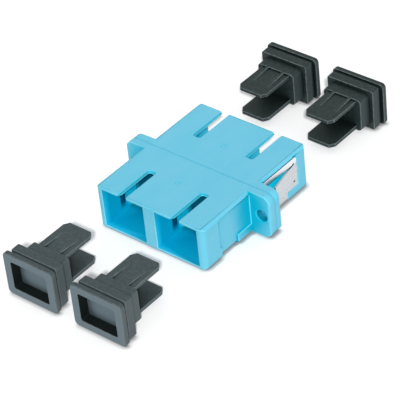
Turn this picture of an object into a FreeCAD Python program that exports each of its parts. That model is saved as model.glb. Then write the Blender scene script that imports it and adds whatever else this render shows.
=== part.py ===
"""Duplex SC fibre adapter with its panel clip and four dust caps.

Millimetres. X runs across the two ports, Y through them from the front to the
rear, and Z up. The origin is the bottom centre of the housing.
"""
import FreeCAD
import Part
import math
import os

# --- Housing -----------------------------------------------------------------
# Ports, with the lead-in at each mouth
PORT_WIDTH = 9.2
PORT_HEIGHT = 7.6
LEAD_IN = 0.4
LEAD_IN_DEPTH = 1.2
KEY_SLOT_WIDTH = 1.8
KEY_SLOT_LENGTH = 9.1
KEY_SLOT_MOUTH_R = 0.45
KEY_SLOT_END_R = 0.5

# Walls round the ports, and the block that they make
PORT_WALL = 3.5
SIDE_WALL = 1.95
ROOF = 0.85
PORT_PITCH = PORT_WIDTH + PORT_WALL
PORT_X = PORT_PITCH / 2.0
BODY_WIDTH = PORT_PITCH + PORT_WIDTH + 2.0 * SIDE_WALL
BODY_HEIGHT = PORT_HEIGHT + 2.0 * ROOF
BODY_LENGTH = 31.0
HALF_LENGTH = BODY_LENGTH / 2.0
MID_Z = BODY_HEIGHT / 2.0
UPRIGHT_EDGE_R = 1.2
LONG_EDGE_R = 0.8
FACE_EDGE_R = 0.25

# Flange, half of it on each moulding
FLANGE_EAR = 4.4
FLANGE_WIDTH = BODY_WIDTH + 2.0 * FLANGE_EAR
FLANGE_HALF = 1.65
FLANGE_CORNER_R = 1.8
FLANGE_EDGE_R = 0.5
SCREW_HOLE_D = 2.36
SCREW_HOLE_CHAMFER = 0.2
SCREW_HOLE_INSET = 2.1
SCREW_HOLE_X = FLANGE_WIDTH / 2.0 - SCREW_HOLE_INSET
SEAM_DEPTH = 0.06
SEAM_HALF = 0.06

# Side panels of the front moulding
PANEL_DEPTH = 0.35
PANEL_LENGTH = 8.95
PANEL_STRIP = 0.3
PANEL_REAR_Y = -FLANGE_HALF - PANEL_STRIP
PANEL_FRONT_Y = -FLANGE_HALF - PANEL_LENGTH
PANEL_TOP_MARGIN = 0.6
PANEL_TOP_Z = BODY_HEIGHT - PANEL_TOP_MARGIN
GROOVE_WIDTH = 0.4
GROOVE_DEPTH = 0.75
GROOVE_FRONT_Y = PANEL_FRONT_Y - GROOVE_WIDTH
GROOVE_BOTTOM_Z = 2.3
GROOVE_TOP_MARGIN = 0.8
GROOVE_TOP_Z = BODY_HEIGHT - GROOVE_TOP_MARGIN
LEDGE_LENGTH = 4.25
LEDGE_FRONT_Y = -FLANGE_HALF - LEDGE_LENGTH
LEDGE_BOTTOM_Z = 0.45
LEDGE_TOP_Z = 2.1
NOTCH_WIDTH = 1.0
NOTCH_HEIGHT = 0.8
GATE_MARK_Y = 6.8
GATE_MARK_D = 1.2
GATE_MARK_DEPTH = 0.05

# --- Panel clip, one folded strip ----------------------------------------------
CLIP_THICKNESS = 0.35
CLIP_UNDER_GAP = 0.05
CLIP_SEAT_DEPTH = CLIP_THICKNESS + CLIP_UNDER_GAP
CLIP_GAP = 0.15
CLIP_FLANGE_GAP = 0.3
CLIP_LENGTH = 10.35
STRAP_LENGTH = 7.15
CLIP_FRONT_Y = FLANGE_HALF + CLIP_FLANGE_GAP
CLIP_REAR_Y = CLIP_FRONT_Y + CLIP_LENGTH
STRAP_REAR_Y = CLIP_FRONT_Y + STRAP_LENGTH
CLIP_SHOULDER_Z = 2.1
CLIP_TOP_MARGIN = 0.7
CLIP_TOP_Z = BODY_HEIGHT - CLIP_TOP_MARGIN
CLIP_CORNER_R = 0.5
WINDOW_FRONT_STRIP = 1.65
WINDOW_REAR_STRIP = 1.0
WINDOW_BOTTOM_STRIP = 1.3
WINDOW_TOP_STRIP = 1.3
WINDOW_FRONT_Y = CLIP_FRONT_Y + WINDOW_FRONT_STRIP
WINDOW_REAR_Y = CLIP_REAR_Y - WINDOW_REAR_STRIP
WINDOW_BOTTOM_Z = CLIP_SHOULDER_Z + WINDOW_BOTTOM_STRIP
WINDOW_TOP_Z = CLIP_TOP_Z - WINDOW_TOP_STRIP
TAB_GAP = 0.2
TAB_ANGLE = 11.5
RELIEF_R = 0.25

# --- Split sleeves -----------------------------------------------------------------
SLEEVE_BORE = 2.5
SLEEVE_WALL = 0.35
SLEEVE_DIAMETER = SLEEVE_BORE + 2.0 * SLEEVE_WALL
SLEEVE_LENGTH = 11.4
SLEEVE_SLOT = 0.5

# --- Sleeve holders with their latch arms -----------------------------------------
SLEEVE_PLAY = 0.05
SLEEVE_END_PLAY = 0.1
TUBE_WALL = 0.65
TUBE_BORE = SLEEVE_DIAMETER + 2.0 * SLEEVE_PLAY
TUBE_DIAMETER = TUBE_BORE + 2.0 * TUBE_WALL
LIP_LENGTH = 0.6
LIP_CLEARANCE = 0.2
LIP_BORE = SLEEVE_BORE + 2.0 * LIP_CLEARANCE
LIP_LEAD_IN = 0.3
TUBE_LENGTH = SLEEVE_LENGTH / 2.0 + SLEEVE_END_PLAY + LIP_LENGTH

# The base plate lies in a seat at the joint, a little larger than the port
HOLDER_SIDE_LAND = 0.4
HOLDER_ROOF_LAND = 0.2
HOLDER_WIDTH = PORT_WIDTH + 2.0 * HOLDER_SIDE_LAND
HOLDER_HEIGHT = PORT_HEIGHT + 2.0 * HOLDER_ROOF_LAND
HOLDER_BASE = 1.5
HOLDER_CORNER_R = 0.3
HOLDER_FIT = 0.05
ARM_WALL_GAP = 0.4
ARM_THICKNESS = 0.9
ARM_HEIGHT = 4.4
ARM_LENGTH = 10.4
ARM_OUTER_X = PORT_WIDTH / 2.0 - ARM_WALL_GAP
ARM_INNER_X = ARM_OUTER_X - ARM_THICKNESS
HOOK_REACH = 0.7
HOOK_LENGTH = 1.9
HOOK_FLAT = 0.3

# --- Dust caps ------------------------------------------------------------------------
CAP_PLAY = 0.2
CAP_PLUG_WIDTH = PORT_WIDTH - 2.0 * CAP_PLAY
CAP_PLUG_HEIGHT = PORT_HEIGHT - 2.0 * CAP_PLAY
CAP_PLUG = 2.7
CAP_PLUG_R = 0.8
COLLAR_SIDE_LAND = 0.45
COLLAR_ROOF_LAND = 0.25
CAP_COLLAR_WIDTH = PORT_WIDTH + 2.0 * (LEAD_IN + COLLAR_SIDE_LAND)
CAP_COLLAR_HEIGHT = PORT_HEIGHT + 2.0 * (LEAD_IN + COLLAR_ROOF_LAND)
CAP_COLLAR = 1.9
CAP_COLLAR_R = 0.4
CAP_NECK_STEP = 0.3
CAP_NECK_WIDTH = CAP_COLLAR_WIDTH - 2.0 * CAP_NECK_STEP
CAP_NECK_HEIGHT = CAP_COLLAR_HEIGHT - 2.0 * CAP_NECK_STEP
CAP_NECK = 0.7
CAP_PLATE_LAND = 0.6
CAP_PLATE_WIDTH = CAP_COLLAR_WIDTH + 2.0 * CAP_PLATE_LAND
CAP_PLATE_HEIGHT = BODY_HEIGHT
CAP_PLATE = 1.1
CAP_PLATE_R = 0.9
CAP_PLATE_EDGE = 0.15
POCKET_SIDE_WALL = 0.85
POCKET_ROOF_WALL = 1.05
CAP_POCKET_WIDTH = CAP_NECK_WIDTH - 2.0 * POCKET_SIDE_WALL
CAP_POCKET_HEIGHT = CAP_NECK_HEIGHT - 2.0 * POCKET_ROOF_WALL
CAP_POCKET_DEPTH = 2.2
CAP_POCKET_R = 0.4
BLADE_ROOF_GAP = 0.6
BLADE_TUBE_GAP = 0.15
BLADE_OUTER_Z = MID_Z + PORT_HEIGHT / 2.0 - BLADE_ROOF_GAP
BLADE_INNER_Z = MID_Z + TUBE_DIAMETER / 2.0 + BLADE_TUBE_GAP
BLADE_INSET = 1.05
BLADE_WIDTH = CAP_PLUG_WIDTH - 2.0 * BLADE_INSET
BLADE_LENGTH = 8.1
BLADE_CORNER_X = 0.8
BLADE_CORNER_Y = 1.1
RIB_PITCH = 3.8
RIB_WIDTH = 0.6
RIB_HEIGHT = 0.4
RIB_LENGTH = 5.0

# Where a drawn cap lies: the clear way from port to tips, and its offset outwards
CAP_GAP = 9.6
CAP_SIDE_OFFSET = 1.75
CAP_X = PORT_X + CAP_SIDE_OFFSET
CAP_TIP_Y = -HALF_LENGTH - CAP_GAP

OVERCUT = 0.5
X_AXIS = FreeCAD.Vector(1, 0, 0)
Y_AXIS = FreeCAD.Vector(0, 1, 0)
Z_AXIS = FreeCAD.Vector(0, 0, 1)
ORIGIN = FreeCAD.Vector(0, 0, 0)


def vec(x, y, z):
    return FreeCAD.Vector(x, y, z)


def box(x0, x1, y0, y1, z0, z1):
    """Block between two values on each axis."""
    return Part.makeBox(x1 - x0, y1 - y0, z1 - z0, vec(x0, y0, z0))


def arc_inset(radius):
    """Distance from a square corner's sides to the middle of the arc that rounds it."""
    return radius - radius * math.sqrt(0.5)


def rounded_wire(width, height, radius, place):
    """Closed rounded rectangle, its points sent through place(u, v)."""
    half_u = width / 2.0
    half_v = height / 2.0
    inset = arc_inset(radius)
    corners = [(1, 1), (-1, 1), (-1, -1), (1, -1)]
    edges = []
    last_end = None
    first_start = None
    for index, (side_u, side_v) in enumerate(corners):
        on_side = (side_u * half_u, side_v * (half_v - radius))
        on_end = (side_u * (half_u - radius), side_v * half_v)
        middle = (side_u * (half_u - inset), side_v * (half_v - inset))
        start = on_side if index % 2 == 0 else on_end
        end = on_end if index % 2 == 0 else on_side
        if last_end is not None:
            edges.append(Part.makeLine(place(*last_end), place(*start)))
        else:
            first_start = start
        arc = Part.Arc(place(*start), place(*middle), place(*end))
        edges.append(arc.toShape())
        last_end = end
    edges.append(Part.makeLine(place(*last_end), place(*first_start)))
    return Part.Wire(edges)


def bar_along_y(width, height, radius, y0, y1, z=MID_Z):
    """Rounded bar with its section across the ports."""
    wire = rounded_wire(width, height, radius, lambda u, v: vec(u, y0, z + v))
    return Part.Face(wire).extrude(vec(0, y1 - y0, 0))


def bar_along_x(length, height, radius, half_span):
    """Rounded bar seen from the side, centred on the joint."""
    wire = rounded_wire(length, height, radius, lambda u, v: vec(-half_span, u, MID_Z + v))
    return Part.Face(wire).extrude(vec(2.0 * half_span, 0, 0))


def bar_along_z(width, length, radius):
    """Rounded bar seen from above, centred on the joint."""
    wire = rounded_wire(width, length, radius, lambda u, v: vec(u, v, 0))
    return Part.Face(wire).extrude(vec(0, 0, BODY_HEIGHT))


def rectangle_at(x, y, half_x, half_z):
    """Upright rectangle round a port's axis."""
    points = [vec(x - half_x, y, MID_Z - half_z),
              vec(x + half_x, y, MID_Z - half_z),
              vec(x + half_x, y, MID_Z + half_z),
              vec(x - half_x, y, MID_Z + half_z)]
    return Part.makePolygon(points + [points[0]])


def prism(points, direction):
    """Solid swept from a closed polygon."""
    wire = Part.makePolygon(points + [points[0]])
    return Part.Face(wire).extrude(direction)


def countersink(mouth, inward, radius, depth):
    """Cutter that widens a round hole at its mouth, at 45 degrees."""
    start = mouth - inward * OVERCUT
    return Part.makeCone(radius + depth + OVERCUT, radius, depth + OVERCUT, start, inward)


def mirrored(shape, normal):
    return shape.mirror(ORIGIN, normal)


def both_sides(shape):
    """The shape and its mirror image on the other side of the housing."""
    return [shape, mirrored(shape, X_AXIS)]


def body_block():
    """Housing with rounded upright, long and face edges."""
    across = bar_along_y(BODY_WIDTH, BODY_HEIGHT, LONG_EDGE_R, -HALF_LENGTH, HALF_LENGTH)
    above = bar_along_z(BODY_WIDTH, BODY_LENGTH, UPRIGHT_EDGE_R)
    beside = bar_along_x(BODY_LENGTH, BODY_HEIGHT, FACE_EDGE_R, BODY_WIDTH)
    return across.common(above).common(beside)


def flange_half():
    """Front half of the flange, stepped in at the joint to leave a weld line."""
    outer = bar_along_y(FLANGE_WIDTH, BODY_HEIGHT, FLANGE_CORNER_R, -FLANGE_HALF, -SEAM_HALF)
    rounding = bar_along_z(FLANGE_WIDTH, 2.0 * FLANGE_HALF, FLANGE_EDGE_R)
    inner_width = FLANGE_WIDTH - 2.0 * SEAM_DEPTH
    inner_height = BODY_HEIGHT - 2.0 * SEAM_DEPTH
    inner_r = FLANGE_CORNER_R - SEAM_DEPTH
    inner = bar_along_y(inner_width, inner_height, inner_r, -SEAM_HALF, 0.0)
    return outer.common(rounding).fuse(inner)


def port_cutter(x):
    """Port of the front moulding, its lead-in and the seat of the holder."""
    half_x = PORT_WIDTH / 2.0
    half_z = PORT_HEIGHT / 2.0
    seat_x = HOLDER_WIDTH / 2.0 + HOLDER_FIT
    seat_z = HOLDER_HEIGHT / 2.0 + HOLDER_FIT
    port = box(x - half_x, x + half_x, -HALF_LENGTH - OVERCUT, -HOLDER_BASE,
               MID_Z - half_z, MID_Z + half_z)
    seat = box(x - seat_x, x + seat_x, -HOLDER_BASE, OVERCUT, MID_Z - seat_z, MID_Z + seat_z)
    face = rectangle_at(x, -HALF_LENGTH, half_x + LEAD_IN, half_z + LEAD_IN)
    throat = rectangle_at(x, -HALF_LENGTH + LEAD_IN_DEPTH, half_x, half_z)
    mouth = Part.makeLoft([face, throat], True, True)
    return port.fuse([mouth, seat])


def key_slot_cutter(x):
    """Slot in the roof of a port for the key of the plug, its corners rounded."""
    half = KEY_SLOT_WIDTH / 2.0
    face_y = -HALF_LENGTH
    end_y = face_y + KEY_SLOT_LENGTH
    round_y = end_y - KEY_SLOT_END_R
    corner_y = face_y + KEY_SLOT_MOUTH_R
    top_z = MID_Z + BODY_HEIGHT
    reach = half + KEY_SLOT_MOUTH_R
    inner = half - KEY_SLOT_END_R
    straight = box(x - half, x + half, face_y - OVERCUT, round_y, MID_Z, top_z)
    end = box(x - inner, x + inner, round_y, end_y, MID_Z, top_z)
    mouth = box(x - reach, x + reach, face_y, corner_y, MID_Z, top_z)
    ends = [end, mouth]
    for side in (-1, 1):
        end_centre = vec(x + side * inner, round_y, MID_Z)
        mouth_centre = vec(x + side * reach, corner_y, MID_Z)
        ends.append(Part.makeCylinder(KEY_SLOT_END_R, BODY_HEIGHT, end_centre, Z_AXIS))
        mouth_cut = Part.makeCylinder(KEY_SLOT_MOUTH_R, BODY_HEIGHT, mouth_centre, Z_AXIS)
        ends[1] = ends[1].cut(mouth_cut)
    return straight.fuse(ends)


def screw_hole_cutters():
    """Holes through both ears of the flange, with a chamfered rim."""
    radius = SCREW_HOLE_D / 2.0
    cutters = []
    for side in (-1, 1):
        mouth = vec(side * SCREW_HOLE_X, -FLANGE_HALF, MID_Z)
        hole = Part.makeCylinder(radius, 2.0 * FLANGE_HALF, mouth, Y_AXIS)
        cutters += [hole, countersink(mouth, Y_AXIS, radius, SCREW_HOLE_CHAMFER)]
    return cutters


def gate_mark_cutter():
    """Shallow round mark where the moulding gate was."""
    centre = vec(0, -GATE_MARK_Y, BODY_HEIGHT - GATE_MARK_DEPTH)
    return Part.makeCylinder(GATE_MARK_D / 2.0, OVERCUT, centre, Z_AXIS)


def moulding():
    """Shape that both housing mouldings share, built as the front one."""
    front = box(-FLANGE_WIDTH, FLANGE_WIDTH, -BODY_LENGTH, 0, -BODY_HEIGHT, 2.0 * BODY_HEIGHT)
    seam = box(-BODY_WIDTH, BODY_WIDTH, -SEAM_HALF, OVERCUT, -BODY_HEIGHT, 2.0 * BODY_HEIGHT)
    shape = body_block().common(front).cut(seam).fuse(flange_half())
    cutters = screw_hole_cutters()
    cutters.append(gate_mark_cutter())
    for x in (-PORT_X, PORT_X):
        cutters += [port_cutter(x), key_slot_cutter(x)]
    return shape.cut(cutters)


def front_side_cutter():
    """Sunk panel, groove and notched bottom edge on the right side."""
    side = BODY_WIDTH / 2.0
    outside = side + OVERCUT
    panel_x = side - PANEL_DEPTH
    notch_x = side - NOTCH_WIDTH
    above_ledge = box(panel_x, outside, PANEL_FRONT_Y, PANEL_REAR_Y, LEDGE_TOP_Z, PANEL_TOP_Z)
    before_ledge = box(panel_x, outside, PANEL_FRONT_Y, LEDGE_FRONT_Y, -OVERCUT, PANEL_TOP_Z)
    below_ledge = box(panel_x, outside, LEDGE_FRONT_Y, PANEL_REAR_Y, -OVERCUT, LEDGE_BOTTOM_Z)
    groove = box(side - GROOVE_DEPTH, outside, GROOVE_FRONT_Y, PANEL_FRONT_Y,
                 GROOVE_BOTTOM_Z, GROOVE_TOP_Z)
    notch = prism([vec(notch_x, GROOVE_FRONT_Y, 0),
                   vec(notch_x, LEDGE_FRONT_Y, 0),
                   vec(notch_x, LEDGE_FRONT_Y, NOTCH_HEIGHT),
                   vec(notch_x, GROOVE_FRONT_Y + NOTCH_HEIGHT, NOTCH_HEIGHT)],
                  vec(NOTCH_WIDTH + OVERCUT, 0, 0))
    return above_ledge.fuse([before_ledge, below_ledge, groove, notch])


def front_housing():
    return moulding().cut(both_sides(front_side_cutter()))


def rear_housing():
    """Rear moulding: as the front one, with the seat of the clip."""
    core_width = BODY_WIDTH - 2.0 * CLIP_SEAT_DEPTH
    core_tall = 2.0 * (CLIP_TOP_Z - CLIP_SEAT_DEPTH - CLIP_UNDER_GAP)
    core_r = LONG_EDGE_R - CLIP_SEAT_DEPTH
    core = bar_along_y(core_width, core_tall, core_r, 0.0, HALF_LENGTH, CLIP_TOP_Z)
    seat = clip_outline(FLANGE_HALF, CLIP_GAP).cut(core)
    return mirrored(moulding(), Y_AXIS).cut(seat)


def clip_outline(front_y, gap):
    """Side view of the clip from front_y, grown by a gap, its rear top corner rounded."""
    strap_y = STRAP_REAR_Y + gap
    rear_y = CLIP_REAR_Y + gap
    shoulder_z = CLIP_SHOULDER_Z - gap
    top_z = CLIP_TOP_Z + gap
    radius = CLIP_CORNER_R + gap
    inset = arc_inset(radius)
    x = -BODY_WIDTH
    corners = [vec(x, rear_y - radius, top_z),
               vec(x, front_y, top_z),
               vec(x, front_y, -OVERCUT),
               vec(x, strap_y, -OVERCUT),
               vec(x, strap_y, shoulder_z),
               vec(x, rear_y, shoulder_z),
               vec(x, rear_y, top_z - radius)]
    edges = [Part.makeLine(a, b) for a, b in zip(corners, corners[1:])]
    middle = vec(x, rear_y - inset, top_z - inset)
    edges.append(Part.Arc(corners[-1], middle, corners[0]).toShape())
    return Part.Face(Part.Wire(edges)).extrude(vec(2.0 * BODY_WIDTH, 0, 0))


def clip_window():
    """Opening that the tongue leaves in the right cheek, relieved at its root."""
    outer = BODY_WIDTH / 2.0
    inside = outer - 2.0 * CLIP_THICKNESS
    cutter = box(inside, outer + OVERCUT, WINDOW_FRONT_Y, WINDOW_REAR_Y,
                 WINDOW_BOTTOM_Z, WINDOW_TOP_Z)
    for z in (WINDOW_BOTTOM_Z, WINDOW_TOP_Z):
        centre = vec(inside, WINDOW_REAR_Y, z)
        relief = Part.makeCylinder(RELIEF_R, outer + OVERCUT - inside, centre, X_AXIS)
        cutter = cutter.fuse(relief)
    return cutter


def clip_tab():
    """Tongue of the right cheek, sprung outward toward the flange."""
    outer = BODY_WIDTH / 2.0
    inner = outer - CLIP_THICKNESS
    bottom = WINDOW_BOTTOM_Z + TAB_GAP
    top = WINDOW_TOP_Z - TAB_GAP
    tongue = box(inner, outer, WINDOW_FRONT_Y + TAB_GAP, WINDOW_REAR_Y, bottom, top)
    tongue.rotate(vec(inner, WINDOW_REAR_Y, 0), Z_AXIS, TAB_ANGLE)
    root = Part.makeCylinder(CLIP_THICKNESS, top - bottom, vec(inner, WINDOW_REAR_Y, bottom), Z_AXIS)
    keep = box(inner, outer, WINDOW_FRONT_Y, WINDOW_REAR_Y, bottom, top)
    return tongue.fuse(root.common(keep))


def mounting_clip():
    """Spring clip: a strap under the housing and a cheek up each side."""
    tall = 2.0 * (CLIP_TOP_Z - CLIP_UNDER_GAP)
    inner_width = BODY_WIDTH - 2.0 * CLIP_THICKNESS
    inner_tall = tall - 2.0 * CLIP_THICKNESS
    inner_r = LONG_EDGE_R - CLIP_THICKNESS
    outer = bar_along_y(BODY_WIDTH, tall, LONG_EDGE_R, CLIP_FRONT_Y, CLIP_REAR_Y, CLIP_TOP_Z)
    inner = bar_along_y(inner_width, inner_tall, inner_r, CLIP_FRONT_Y, CLIP_REAR_Y, CLIP_TOP_Z)
    strip = outer.cut(inner).common(clip_outline(CLIP_FRONT_Y, 0.0))
    strip = strip.cut(both_sides(clip_window()))
    return strip.fuse(both_sides(clip_tab()))


def split_sleeve():
    """Ceramic sleeve, split along its top."""
    start = vec(0, -SLEEVE_LENGTH / 2.0, MID_Z)
    outer = Part.makeCylinder(SLEEVE_DIAMETER / 2.0, SLEEVE_LENGTH, start, Y_AXIS)
    inner = Part.makeCylinder(SLEEVE_BORE / 2.0, SLEEVE_LENGTH, start, Y_AXIS)
    slot = box(-SLEEVE_SLOT / 2.0, SLEEVE_SLOT / 2.0, -SLEEVE_LENGTH, SLEEVE_LENGTH,
               MID_Z, MID_Z + SLEEVE_DIAMETER)
    return outer.cut([inner, slot])


def latch_arm():
    """Right latch arm of a front holder, hooked toward the sleeve."""
    tip_y = -ARM_LENGTH
    hook_x = ARM_INNER_X - HOOK_REACH
    hook_y = tip_y + HOOK_LENGTH
    bottom = MID_Z - ARM_HEIGHT / 2.0
    points = [vec(ARM_OUTER_X, -HOLDER_BASE, bottom),
              vec(ARM_INNER_X, -HOLDER_BASE, bottom),
              vec(ARM_INNER_X, hook_y, bottom),
              vec(hook_x, hook_y, bottom),
              vec(hook_x, hook_y - HOOK_FLAT, bottom),
              vec(ARM_INNER_X + HOOK_FLAT, tip_y, bottom),
              vec(ARM_OUTER_X, tip_y, bottom)]
    return prism(points, vec(0, 0, ARM_HEIGHT))


def front_holder():
    """Base plate, sleeve tube with its end lip, and two latch arms."""
    root = vec(0, 0, MID_Z)
    mouth = vec(0, -TUBE_LENGTH, MID_Z)
    base = bar_along_y(HOLDER_WIDTH, HOLDER_HEIGHT, HOLDER_CORNER_R, -HOLDER_BASE, 0.0)
    tube = Part.makeCylinder(TUBE_DIAMETER / 2.0, TUBE_LENGTH, root, -Y_AXIS)
    bore = Part.makeCylinder(TUBE_BORE / 2.0, TUBE_LENGTH - LIP_LENGTH, root, -Y_AXIS)
    lip = Part.makeCylinder(LIP_BORE / 2.0, TUBE_LENGTH, root, -Y_AXIS)
    lead_in = countersink(mouth, Y_AXIS, LIP_BORE / 2.0, LIP_LEAD_IN)
    return base.fuse([tube] + both_sides(latch_arm())).cut([bore, lip, lead_in])


def cap_blade(shoulder_y):
    """Upper blade of a dust cap with its two tapering ribs."""
    half = BLADE_WIDTH / 2.0
    root_y = shoulder_y - OVERCUT
    tip_y = shoulder_y + BLADE_LENGTH
    points = [vec(-half, root_y, BLADE_INNER_Z),
              vec(half, root_y, BLADE_INNER_Z),
              vec(half, tip_y - BLADE_CORNER_Y, BLADE_INNER_Z),
              vec(half - BLADE_CORNER_X, tip_y, BLADE_INNER_Z),
              vec(-half + BLADE_CORNER_X, tip_y, BLADE_INNER_Z),
              vec(-half, tip_y - BLADE_CORNER_Y, BLADE_INNER_Z)]
    blade = prism(points, vec(0, 0, BLADE_OUTER_Z - BLADE_INNER_Z))
    ribs = []
    for side in (-1, 1):
        x = side * RIB_PITCH / 2.0 - RIB_WIDTH / 2.0
        profile = [vec(x, root_y, BLADE_INNER_Z),
                   vec(x, root_y, BLADE_OUTER_Z + RIB_HEIGHT),
                   vec(x, shoulder_y + RIB_HEIGHT, BLADE_OUTER_Z + RIB_HEIGHT),
                   vec(x, shoulder_y + RIB_LENGTH, BLADE_OUTER_Z),
                   vec(x, shoulder_y + RIB_LENGTH, BLADE_INNER_Z)]
        ribs.append(prism(profile, vec(RIB_WIDTH, 0, 0)))
    return blade.fuse(ribs)


def cap_plate(face_y):
    """Outer plate of a dust cap, its front edge broken all round."""
    plate = bar_along_y(CAP_PLATE_WIDTH, CAP_PLATE_HEIGHT, CAP_PLATE_R, face_y, face_y + CAP_PLATE)
    front_edges = [edge for edge in plate.Edges if edge.BoundBox.YMax < face_y + CAP_PLATE / 2.0]
    return plate.makeChamfer(CAP_PLATE_EDGE, front_edges)


def front_cap():
    """Dust cap drawn clear of the front of the housing."""
    shoulder_y = CAP_TIP_Y - BLADE_LENGTH
    plug_y = shoulder_y - CAP_PLUG
    collar_y = plug_y - CAP_COLLAR
    neck_y = collar_y - CAP_NECK
    face_y = neck_y - CAP_PLATE
    neck = bar_along_y(CAP_NECK_WIDTH, CAP_NECK_HEIGHT, CAP_COLLAR_R, neck_y, collar_y)
    collar = bar_along_y(CAP_COLLAR_WIDTH, CAP_COLLAR_HEIGHT, CAP_COLLAR_R, collar_y, plug_y)
    plug = bar_along_y(CAP_PLUG_WIDTH, CAP_PLUG_HEIGHT, CAP_PLUG_R, plug_y, shoulder_y)
    upper = cap_blade(shoulder_y)
    lower = upper.mirror(vec(0, 0, MID_Z), Z_AXIS)
    pocket = bar_along_y(CAP_POCKET_WIDTH, CAP_POCKET_HEIGHT, CAP_POCKET_R,
                         face_y - OVERCUT, face_y + CAP_POCKET_DEPTH)
    return cap_plate(face_y).fuse([neck, collar, plug, upper, lower]).cut(pocket)


def placed(shape, x, rear):
    """A front piece moved to its port, or turned over to the rear one."""
    moved = mirrored(shape, Y_AXIS) if rear else shape.copy()
    moved.translate(vec(x, 0, 0))
    return moved


def single_solid(shape):
    """The shape with split faces merged, as a plain solid."""
    return shape.removeSplitter().Solids[0]


def build_parts():
    sleeve = split_sleeve()
    holder = front_holder()
    cap = front_cap()
    parts = {"front_housing": front_housing(),
             "rear_housing": rear_housing(),
             "mounting_clip": mounting_clip()}
    for side, port_x, cap_x in (("left", -PORT_X, -CAP_X), ("right", PORT_X, CAP_X)):
        parts[side + "_split_sleeve"] = placed(sleeve, port_x, False)
        for end in ("front", "rear"):
            rear = end == "rear"
            parts[end + "_" + side + "_holder"] = placed(holder, port_x, rear)
            parts[end + "_" + side + "_cap"] = placed(cap, cap_x, rear)
    return parts


def main():
    os.makedirs("parts", exist_ok=True)
    for name, shape in build_parts().items():
        single_solid(shape).exportStep("parts/" + name + ".step")


main()
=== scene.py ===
import math

import bmesh
import bpy
from bpy.props import FloatProperty, FloatVectorProperty, PointerProperty
from mathutils import Matrix, Vector


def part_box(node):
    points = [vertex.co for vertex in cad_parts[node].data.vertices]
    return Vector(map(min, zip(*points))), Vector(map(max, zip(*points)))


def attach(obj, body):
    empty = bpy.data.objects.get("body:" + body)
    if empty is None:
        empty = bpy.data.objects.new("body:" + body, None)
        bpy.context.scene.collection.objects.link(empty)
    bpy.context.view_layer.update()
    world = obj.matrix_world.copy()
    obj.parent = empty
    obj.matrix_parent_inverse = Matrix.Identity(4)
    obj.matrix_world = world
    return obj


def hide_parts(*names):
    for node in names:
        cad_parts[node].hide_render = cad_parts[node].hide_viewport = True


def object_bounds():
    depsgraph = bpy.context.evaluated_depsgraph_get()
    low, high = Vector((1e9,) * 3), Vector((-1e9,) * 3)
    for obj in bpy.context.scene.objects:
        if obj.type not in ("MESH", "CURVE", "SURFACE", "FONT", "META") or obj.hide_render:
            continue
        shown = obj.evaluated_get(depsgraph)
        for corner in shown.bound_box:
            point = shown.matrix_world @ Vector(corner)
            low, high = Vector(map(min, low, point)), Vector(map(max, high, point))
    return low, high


bl_info = {
    "name": "Fibre adapter",
    "version": (1, 0, 0),
    "blender": (4, 5, 0),
    "location": "3D View > Sidebar > Fibre adapter",
    "description": "Finishes the pieces of a duplex fibre adapter and sets its stage",
    "category": "Object",
}

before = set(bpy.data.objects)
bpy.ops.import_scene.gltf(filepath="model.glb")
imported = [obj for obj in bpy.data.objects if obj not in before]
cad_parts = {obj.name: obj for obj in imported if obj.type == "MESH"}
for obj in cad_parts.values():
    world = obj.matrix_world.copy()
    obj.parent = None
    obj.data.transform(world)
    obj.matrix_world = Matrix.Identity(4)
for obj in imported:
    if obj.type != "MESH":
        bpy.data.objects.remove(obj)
CAD_LOW, CAD_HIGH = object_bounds()

MM = 0.001
ADAPTER_BODY = "adapter"
ENDS = ("front", "rear")
SIDES = ("left", "right")

# Joining of the loose triangles that a construction mesh comes in
JOINING_REACH = 0.0005 * MM
FLAT_ANGLE = math.radians(0.4)
# Outer edges sharper than this are rounded, each as far as the faces beside it allow
SHARP_ANGLE = math.radians(28.0)
ROUNDING_STEPS = 3
ROOM_SHARE = 0.4
# An edge leads away from its neighbour if at least this share of its length does
ACROSS_SHARE = 0.5

# Marks on faces, each by the name that the materials read it by
ROUNDED = "rounded"
PORT_WALL = "port wall"
SLOT_WALL = "slot wall"
CLIP_SEAT = "clip seat"
HOLE_WALL = "hole wall"
WELD_LINE = "weld line"
POCKET_WALL = "pocket wall"

# Name of the node tree that sets copies of a piece at the ports
PORT_COPY = "port copy"

# Most values of a noise lie between these two
NOISE_LOW = 0.3
NOISE_HIGH = 0.7
# A face starts to count as a side wall where this much of its normal lies along X, and counts
# in full where the second number does
SIDE_WALL_START = 0.7
SIDE_WALL_FULL = 0.95
# The least painted highlight on a rounded edge, as a share of its strongest
LEAST_EDGE_HIGHLIGHT = 0.4
OPENNESS_SAMPLES = 12

WHITE = (1.0, 1.0, 1.0, 1.0)
# A spot of the floor looks up and to the left rear for what stands close by, so the contact
# shadow lies along the front and right sides of the pieces
SHADOW_LOOK = (-0.62, 0.26, 0.74)
# Openness of the spot at which the contact shadow is deepest, and at which it ends
SHADOW_DEEPEST = 0.25
SHADOW_END = 0.92
SHADOW_SAMPLES = 16

CAMERA_NEAR = 10.0 * MM


# --- Properties -----------------------------------------------------------------
def length_property(name, description, default):
    return FloatProperty(name=name, description=description, default=default, min=0.0,
                         precision=6, subtype="DISTANCE", unit="LENGTH")


def share_property(name, description, default):
    return FloatProperty(name=name, description=description, default=default,
                         min=0.0, max=1.0, subtype="FACTOR")


def strength_property(name, description, default):
    return FloatProperty(name=name, description=description, default=default, min=0.0)


def colour_property(name, description, default):
    return FloatVectorProperty(name=name, description=description, default=default,
                               size=3, min=0.0, max=1.0, subtype="COLOR")


def angle_property(name, description, degrees):
    return FloatProperty(name=name, description=description, default=math.radians(degrees),
                         subtype="ANGLE", unit="ROTATION")


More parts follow.
